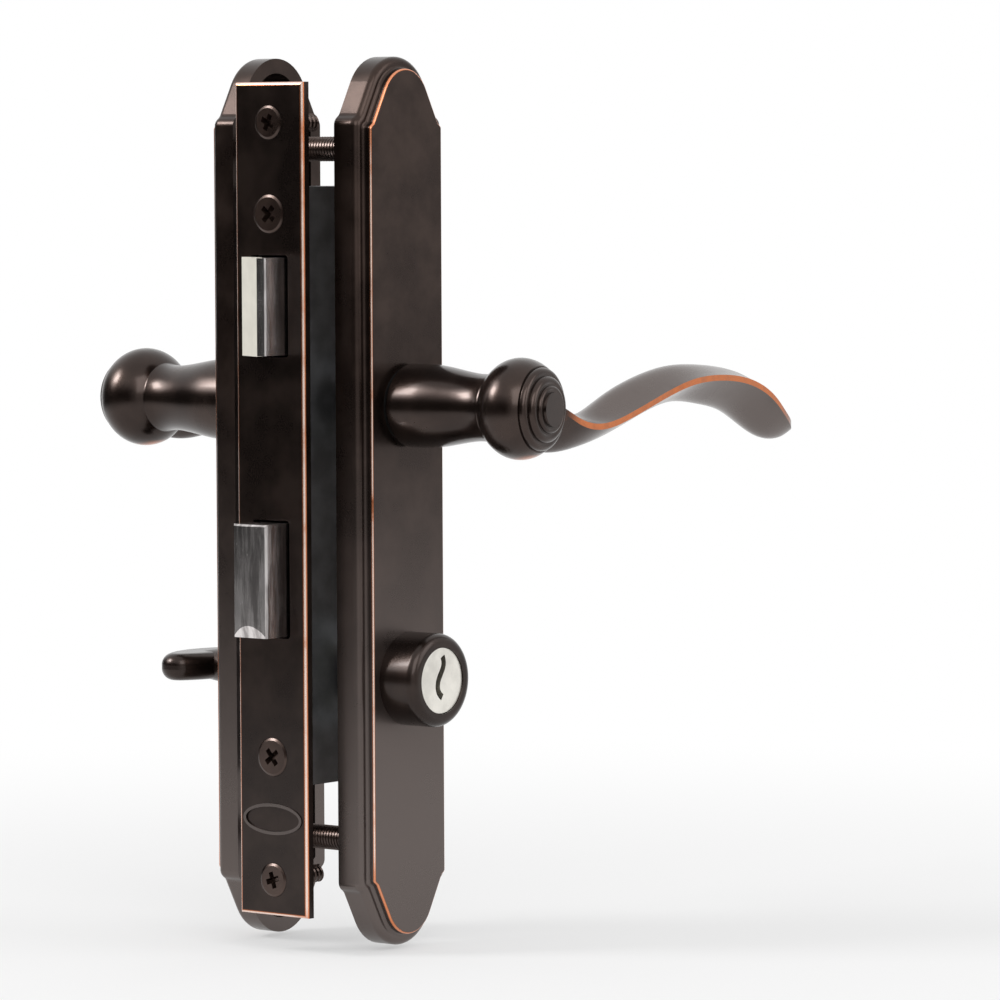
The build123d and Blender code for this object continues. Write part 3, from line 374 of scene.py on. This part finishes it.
def addPiece(bm, name, node):  # the mesh as a piece of the lock, in the finish and slot of a node
    mesh = bpy.data.meshes.new(name)
    bm.to_mesh(mesh)
    bm.free()
    mesh.materials.clear()
    mesh.materials.append(nodes[node].data.materials[0])
    piece = bpy.data.objects.new(name, mesh)
    scene.collection.objects.link(piece)
    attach(piece, "lock")
    return piece


threads = (
    {"name": "edge_threads", "node": "door_edge_screws", "axis": 0, "from": -17.5 * mm, "to": -5.5 * mm,
     "radius": 1.65 * mm, "crest": 0.30 * mm, "pitch": 1.3 * mm, "head": 3.6 * mm},
    {"name": "mount_threads", "node": "mounting_screws", "axis": 1, "from": 9.3 * mm, "to": 27.5 * mm,
     "radius": 2.45 * mm, "crest": 0.25 * mm, "pitch": 0.8 * mm, "head": 4.5 * mm},
)
threadForm = {"sink": 0.05 * mm, "foot": 0.6, "turnSteps": 20}  # foot is a share of the pitch


def buildThreads(thread):  # a ridge wound round both shafts of a node
    low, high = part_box(thread["node"])
    across = 1 - thread["axis"]
    along = Vector([float(k == thread["axis"]) for k in range(3)])
    out = Vector([float(k == across) for k in range(3)])
    run = thread["to"] - thread["from"]
    turns = run / thread["pitch"]
    steps = round(turns * threadForm["turnSteps"])
    foot = along * threadForm["foot"] * thread["pitch"]
    bm = bmesh.new()
    for height in (low.z + thread["head"], high.z - thread["head"]):
        centre = along * thread["from"] + out * (low[across] + high[across]) / 2 + Vector((0, 0, height))
        heel = centre + out * (thread["radius"] - threadForm["sink"])
        crest = heel + foot / 2 + out * (thread["crest"] + threadForm["sink"])
        start = bm.faces.new([bm.verts.new(corner) for corner in (heel, heel + foot, crest)])
        bmesh.ops.spin(bm, geom=[start, *start.edges, *start.verts], cent=centre, axis=along,
                       dvec=(along * run - foot) / steps, steps=steps, angle=2 * math.pi * turns)
    bmesh.ops.recalc_face_normals(bm, faces=bm.faces)
    addPiece(bm, thread["name"], thread["node"])


for thread in threads:
    buildThreads(thread)
print("threads on", len(threads), "sets of screws")

springs = (  # the coil and the leaf, each copied from its node as a piece of the lock
    {"name": "latch_coil", "node": "latch_spring", "joint": "latch_slide", "axis": (1, 0, 0), "keep": 0.745,
     "smooth": True, "fixed": (1.0, 0.5, 0.5)},
    {"name": "hub_leaf", "node": "hub_spring", "joint": "levers_turn", "axis": (0.5, 0, 0.866), "keep": 0.70,
     "smooth": False, "fixed": (0.0, 0.5, 1.0)},
)


def buildSpring(spring):  # fixed, the end that stays as shares of the node's box, is not used
    bm = bmesh.new()
    bm.from_mesh(nodes[spring["node"]].data)
    bmesh.ops.remove_doubles(bm, verts=bm.verts, dist=0.001 * mm)
    for face in bm.faces:
        face.smooth = spring["smooth"]
    piece = addPiece(bm, spring["name"], spring["node"])
    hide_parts(spring["node"])
    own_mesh(piece)


for spring in springs:
    buildSpring(spring)
print("springs that follow the lock:", len(springs))

shot = {"target": (0, 0, -21 * mm), "azimuth": -51.57, "elevation": 3.63, "roll": -0.25,
        "distance": 1.2, "right": 25.94 * mm, "up": 0.31 * mm, "lens": 200.1, "sensor": 36}


def placeCamera(shot):
    a, e, r = (math.radians(shot[k]) for k in ("azimuth", "elevation", "roll"))
    back = Vector((math.sin(a) * math.cos(e), -math.cos(a) * math.cos(e), math.sin(e)))
    right = Vector((math.cos(a), math.sin(a), 0))
    up = back.cross(right)
    right, up = right * math.cos(r) + up * math.sin(r), up * math.cos(r) - right * math.sin(r)
    eye = Vector(shot["target"]) + back * shot["distance"] + right * shot["right"] + up * shot["up"]
    data = bpy.data.cameras.new("camera")
    data.lens = shot["lens"]
    data.sensor_width = shot["sensor"]
    data.clip_start = 10 * mm
    camera = bpy.data.objects.new("camera", data)
    camera.matrix_world = Matrix((right, up, back)).transposed().to_4x4()
    camera.location = eye
    scene.collection.objects.link(camera)
    scene.camera = camera


placeCamera(shot)

studio = {
    "floorGap": 1 * mm, "floorSize": 12.0, "paper": (0.84, 0.84, 0.84), "diffuse": 0.62,
    "nearShare": 0.45, "whiteFrom": (0.12, 0.45),  # the floor turns from paper to white away from the part
    "dimFrom": (0.25, 0.9), "dimHeight": (0.2, 0.6),
    "dim": ({"towards": (-0.783, 0.62, 0), "from": 0.1, "to": 0.7, "depth": 0.97},
            {"towards": (0.78, -0.62, 0), "from": 0.4, "to": 0.9, "depth": 0.24},
            {"towards": (-0.35, -0.93, 0), "from": 0.4, "to": 0.95, "depth": 0.45}),
    "glow": {"towards": (-0.56, 0.62, 0.55), "from": 0.94, "to": 0.998, "strength": 5.5},
}


def seenRay(start, *kinds):  # 1 for rays of these kinds
    seen = start.node("LightPath", output=kinds[0])
    for kind in kinds[1:]:
        seen = seen.maths("MAXIMUM", seen, start.node("LightPath", output=kind))
    return seen


def towardsShare(look, patch):  # 1 in the middle of a patch of the surroundings, 0 outside it
    near = look.node("VectorMath", {"operation": "DOT_PRODUCT"}, {0: look, 1: patch["towards"]}, output=1)
    return rise(near, patch["from"], patch["to"])


def dimShare(look):  # how much of the white is missing in this direction
    share = 0.0
    for patch in studio["dim"]:
        share = share + patch["depth"] * towardsShare(look, patch)
    return share


def buildFloor():  # paper under the part, which keeps its shadow, and white further off
    material, where = startFinish("floor")
    far = where.node("VectorMath", {"operation": "LENGTH"}, {0: where}, output=1)
    look = where.node("VectorMath", {"operation": "NORMALIZE"}, {0: where})
    dim = seenRay(where, "Is Glossy Ray") * dimShare(look) * rise(far, *studio["dimFrom"])
    shade = blendColour(dim, (1, 1, 1, 1), (0, 0, 0, 1))
    white = where.node("Emission", {}, {"Color": shade, "Strength": 1.0})
    paper = where.node("BsdfDiffuse", {}, {"Color": tint(studio["paper"])})
    share = studio["nearShare"] + (1 - studio["nearShare"]) * rise(far, *studio["whiteFrom"])
    share = share * seenRay(where, "Is Camera Ray", "Is Glossy Ray", "Is Transmission Ray")
    where.node("OutputMaterial", {}, {"Surface": where.node("MixShader", {}, {0: share, 1: paper, 2: white})})
    bm = bmesh.new()
    bmesh.ops.create_grid(bm, x_segments=1, y_segments=1, size=studio["floorSize"] / 2)
    bmesh.ops.translate(bm, verts=bm.verts, vec=(0, 0, cadBox[0][2] - studio["floorGap"]))
    mesh = bpy.data.meshes.new("floor")
    bm.to_mesh(mesh)
    bm.free()
    mesh.materials.append(material)
    floor = bpy.data.objects.new("floor", mesh)
    scene.collection.objects.link(floor)


def buildWorld():  # white all round, with dim stretches and one softbox that only reflections show
    world = bpy.data.worlds.new("studio")
    scene.world = world
    world.use_nodes = True
    world.node_tree.nodes.clear()
    sky = Wire(world.node_tree)
    look = sky.node("TexCoord", output="Generated")
    height = abs(sky.node("SeparateXYZ", {}, {"Vector": look}, output=2))
    dim = dimShare(look) * (1 - rise(height, *studio["dimHeight"]))
    gloss = seenRay(sky, "Is Glossy Ray")
    camera = seenRay(sky, "Is Camera Ray", "Is Transmission Ray")
    strength = camera.maths("MAXIMUM", camera, gloss * (1 - dim))
    strength = strength.maths("MAXIMUM", strength, studio["diffuse"] * (1 - gloss))
    strength = strength + gloss * studio["glow"]["strength"] * towardsShare(look, studio["glow"])
    backdrop = sky.node("Background", {}, {"Color": (1, 1, 1, 1), "Strength": strength})
    sky.node("OutputWorld", {}, {"Surface": backdrop})


buildFloor()
buildWorld()

lampAim = Vector((20 * mm, 0, -20 * mm))
lamps = (
    {"name": "top", "from": (-0.68, 0.70, 0.64), "size": 0.32, "power": 5.0},
    {"name": "left", "from": (-0.7, -1.0, 0.70), "size": 0.90, "power": 6},
    {"name": "right", "from": (0.5, -1.3, 0.55), "size": 0.90, "power": 5},
)
for lamp in lamps:
    data = bpy.data.lights.new(lamp["name"], "AREA")
    data.size = lamp["size"]
    data.energy = lamp["power"]
    light = bpy.data.objects.new(lamp["name"], data)
    light.location = lamp["from"]
    light.rotation_euler = (lampAim - light.location).to_track_quat("-Z", "Y").to_euler()
    scene.collection.objects.link(light)
scene.view_settings.view_transform = "Standard"
print("camera, floor and lamps set")
